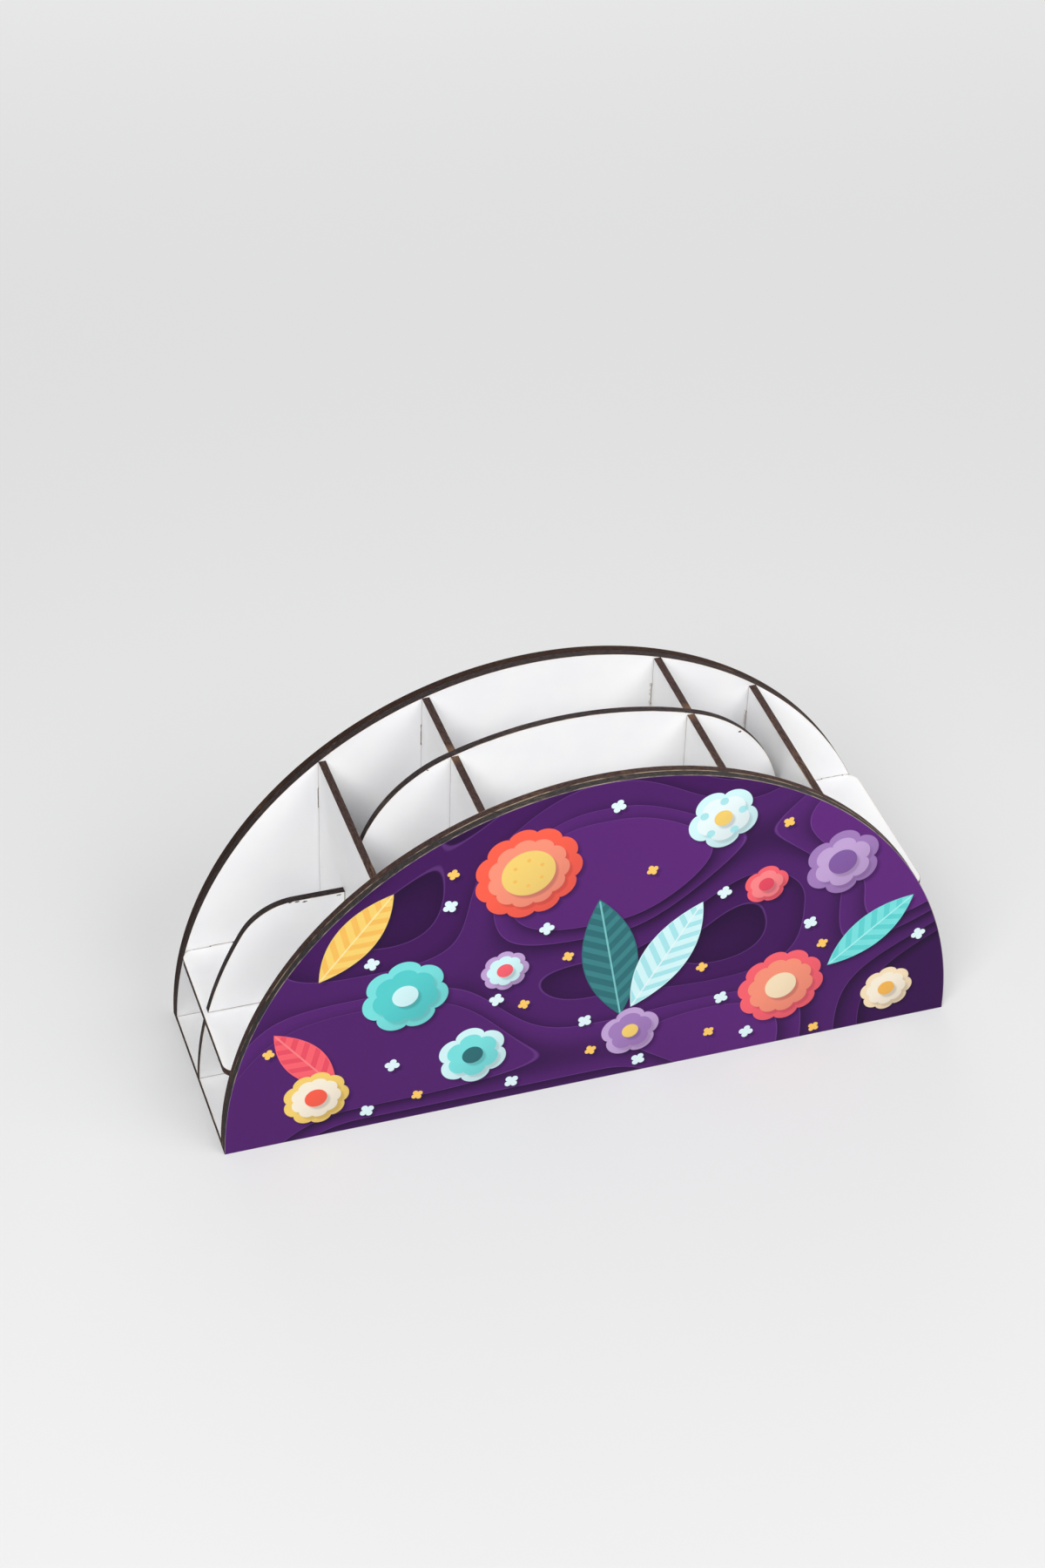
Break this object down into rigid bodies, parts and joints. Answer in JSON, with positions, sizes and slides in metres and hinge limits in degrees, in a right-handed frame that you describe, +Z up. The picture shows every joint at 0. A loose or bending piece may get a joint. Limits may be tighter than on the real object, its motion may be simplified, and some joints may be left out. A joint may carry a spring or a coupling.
{
  "type": "half-disc desk organizer",
  "caption": "Half-disc desk and hobby organizer of slotted flat boards: upright dividers and a middle panel split it into open cells, with a low floor at one end and a high shelf at the other.",
  "frame": {"origin": "middle of the flat underside, which is the bottom centre of the bounding box", "axes": "+X to the right seen from the printed front, +Y to the back, +Z up"},
  "size_m": [0.296, 0.0834, 0.148],
  "materials": {
    "white_board": "fibreboard with smooth white melamine faces and laser-burnt dark brown edges",
    "printed_board": "fibreboard with a satin purple decorative print on its front face and laser-burnt edges"
  },
  "bodies": {
    "root": {"front_printed_panel": "printed_board", "base_board": "white_board", "front_inner_panel": "white_board", "middle_panel": "white_board", "back_inner_panel": "white_board", "back_cover_panel": "white_board", "divider_outer_left": "white_board", "divider_inner_left": "white_board", "divider_inner_right": "white_board", "divider_outer_right": "white_board", "left_floor": "white_board", "right_shelf": "white_board"}
  },
  "joints": []
}
